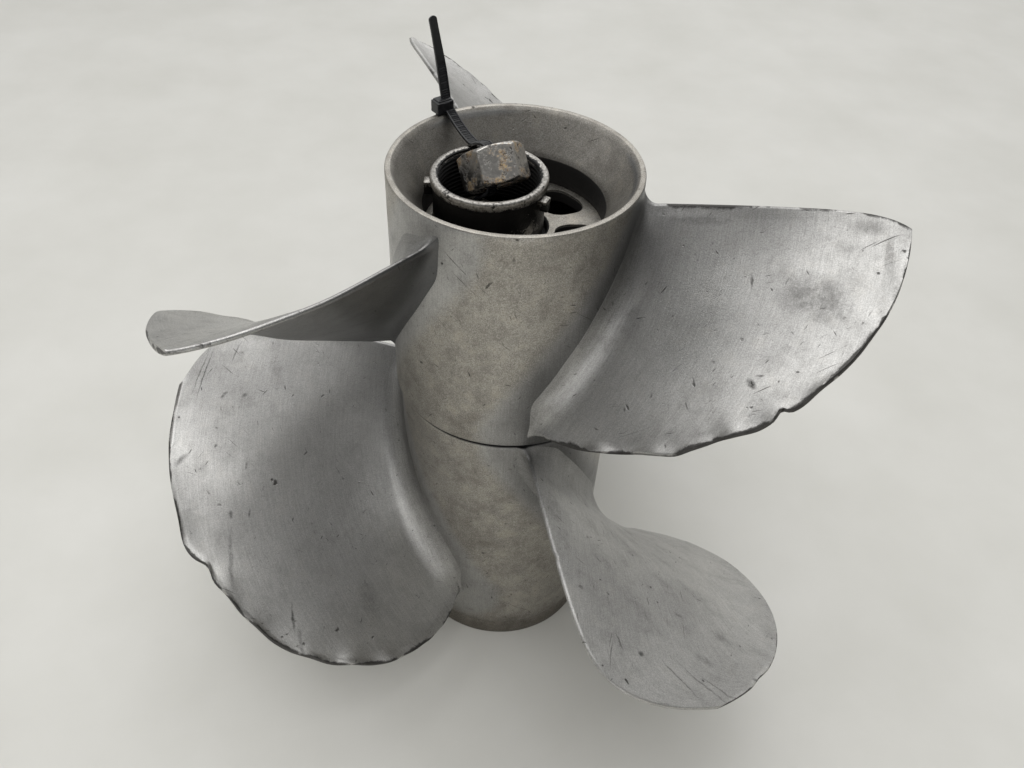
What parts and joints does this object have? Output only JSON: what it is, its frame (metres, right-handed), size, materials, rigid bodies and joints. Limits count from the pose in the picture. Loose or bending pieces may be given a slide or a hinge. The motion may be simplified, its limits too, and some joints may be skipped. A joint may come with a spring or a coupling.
{
  "type": "stern drive propeller pair",
  "caption": "Stacked counter-rotating stern drive propellers with hollow exhaust hubs, a loose ring nut, a hexagon nut and a nylon tie through both.",
  "frame": {"origin": "on the shaft axis, in the plane of the front hub's foot, which it stands on", "axes": "+Z along the shaft axis, pointing aft to the exhaust end; +X to the right in the picture's view"},
  "size_m": [0.3407, 0.3298, 0.3234],
  "materials": {
    "cast_stainless_front": "worn satin, scratched",
    "cast_stainless_rear": "worn satin, speckled",
    "rubber_front": "matte",
    "rubber_rear": "matte",
    "splined_steel_front": "machined, dull",
    "splined_steel_rear": "machined, dull",
    "greasy_ring_steel": "greasy, worn bright at the rim",
    "worn_nut_steel": "worn, lightly rusted",
    "black_nylon": "satin"
  },
  "bodies": {
    "front": {"front_propeller": "cast_stainless_front", "front_rubber_bush": "rubber_front", "front_splined_sleeve": "splined_steel_front"},
    "rear": {"rear_propeller": "cast_stainless_rear", "rear_rubber_bush": "rubber_rear", "rear_splined_sleeve": "splined_steel_rear", "ring_nut": "greasy_ring_steel", "hex_nut": "worn_nut_steel", "cable_tie": "black_nylon"}
  },
  "joints": [
    {"name": "rear_propeller_spin", "type": "hinge", "parent": "front", "child": "rear", "pos_m": [0, 0, 0.1647], "axis": [0, 0, 1], "continuous": true}
  ]
}
